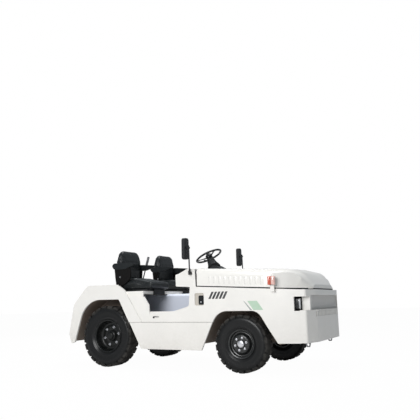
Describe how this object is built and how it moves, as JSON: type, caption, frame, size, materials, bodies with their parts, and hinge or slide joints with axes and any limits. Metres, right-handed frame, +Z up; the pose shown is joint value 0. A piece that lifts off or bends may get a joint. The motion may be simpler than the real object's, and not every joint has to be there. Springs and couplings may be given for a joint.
{
  "type": "airport baggage tug",
  "caption": "Open baggage towing tractor with a ballasted nose, hinged hood, side-by-side seats and a rear pin coupling.",
  "frame": {"origin": "on the ground under the middle of the overall length and width", "axes": "+X forward, +Y to the driver's left, +Z up"},
  "size_m": [3.54, 1.73, 1.626],
  "materials": {
    "body_white": "gloss warm white paint",
    "inner_grey": "satin grey paint",
    "grille_grey": "satin grey paint",
    "chassis_black": "satin black chassis paint",
    "engine_iron": "painted casting",
    "radiator_dark": "matt black",
    "steel": "machined and forged",
    "tyre": "matt rubber",
    "wheel_black": "gloss black paint",
    "black_plastic": "moulded black",
    "seat_vinyl": "glossy black vinyl",
    "lever_grey": "satin grey",
    "lamp_glass": "clear lens",
    "lamp_red": "red-orange lens"
  },
  "bodies": {
    "chassis": {"front_bumper": "body_white", "front_fascia": "body_white", "side_panels": "body_white", "sills": "body_white", "seat_side_panels": "body_white", "rear_fenders": "body_white", "rear_deck": "body_white", "seat_box": "body_white", "cowl": "body_white", "tunnel": "inner_grey", "floor": "inner_grey", "firewall": "inner_grey", "front_arch_liners": "inner_grey", "rear_arch_liners": "inner_grey", "front_grille": "grille_grey", "frame": "chassis_black", "front_axle_beam": "chassis_black", "rear_axle": "chassis_black", "leaf_springs": "chassis_black", "rear_coupling": "chassis_black", "engine_block": "engine_iron", "radiator": "radiator_dark", "lashing_eyes": "steel", "steering_column": "black_plastic", "binnacle": "black_plastic", "hip_restraints": "black_plastic", "seat_bases": "black_plastic", "mirrors": "black_plastic", "seat_cushions": "seat_vinyl", "seat_backs": "seat_vinyl", "control_levers": "lever_grey", "release_lever": "lever_grey", "pedals": "lever_grey", "headlamps": "lamp_glass", "turn_lamps": "lamp_red", "tail_lamps": "lamp_red"},
    "hood": {"hood": "body_white"},
    "steering_wheel": {"steering_wheel": "black_plastic"},
    "knuckle_right": {"knuckle_right": "steel"},
    "knuckle_left": {"knuckle_left": "steel"},
    "tie_rod": {"tie_rod": "steel"},
    "front_wheel_right": {"front_tyre_right": "tyre", "front_wheel_right": "wheel_black"},
    "rear_wheel_right": {"rear_tyre_right": "tyre", "rear_wheel_right": "wheel_black"},
    "front_wheel_left": {"front_tyre_left": "tyre", "front_wheel_left": "wheel_black"},
    "rear_wheel_left": {"rear_tyre_left": "tyre", "rear_wheel_left": "wheel_black"}
  },
  "joints": [
    {"name": "hood_hinge", "type": "hinge", "parent": "chassis", "child": "hood", "pos_m": [0.341, 0, 1.244], "axis": [0, -1, 0], "range_deg": [0, 60]},
    {"name": "steer_right", "type": "hinge", "parent": "chassis", "child": "knuckle_right", "pos_m": [0.925, -0.56, 0.3335], "axis": [0, 0, 1], "range_deg": [-35, 35]},
    {"name": "steer_left", "type": "hinge", "parent": "chassis", "child": "knuckle_left", "pos_m": [0.925, 0.56, 0.3335], "axis": [0, 0, 1], "range_deg": [-35, 35]},
    {"name": "tie_rod_turn", "type": "hinge", "parent": "knuckle_left", "child": "tie_rod", "pos_m": [0.775, 0.56, 0.248], "axis": [0, 0, 1], "range_deg": [-35, 35]},
    {"name": "steering_wheel_turn", "type": "hinge", "parent": "chassis", "child": "steering_wheel", "pos_m": [-0.097, 0.405, 1.5], "axis": [-0.4384, 0, 0.8988], "range_deg": [-525, 525]},
    {"name": "front_wheel_right_spin", "type": "hinge", "parent": "knuckle_right", "child": "front_wheel_right", "pos_m": [0.925, -0.685, 0.3335], "axis": [0, 1, 0], "continuous": true},
    {"name": "rear_wheel_right_spin", "type": "hinge", "parent": "chassis", "child": "rear_wheel_right", "pos_m": [-1.055, -0.67, 0.4], "axis": [0, 1, 0], "continuous": true},
    {"name": "front_wheel_left_spin", "type": "hinge", "parent": "knuckle_left", "child": "front_wheel_left", "pos_m": [0.925, 0.685, 0.3335], "axis": [0, 1, 0], "continuous": true},
    {"name": "rear_wheel_left_spin", "type": "hinge", "parent": "chassis", "child": "rear_wheel_left", "pos_m": [-1.055, 0.67, 0.4], "axis": [0, 1, 0], "continuous": true}
  ],
  "couplings": [
    {"joint": "steer_left", "follows": "steer_right", "ratio": 1},
    {"joint": "tie_rod_turn", "follows": "steer_right", "ratio": -1},
    {"joint": "steering_wheel_turn", "follows": "steer_right", "ratio": 15}
  ]
}
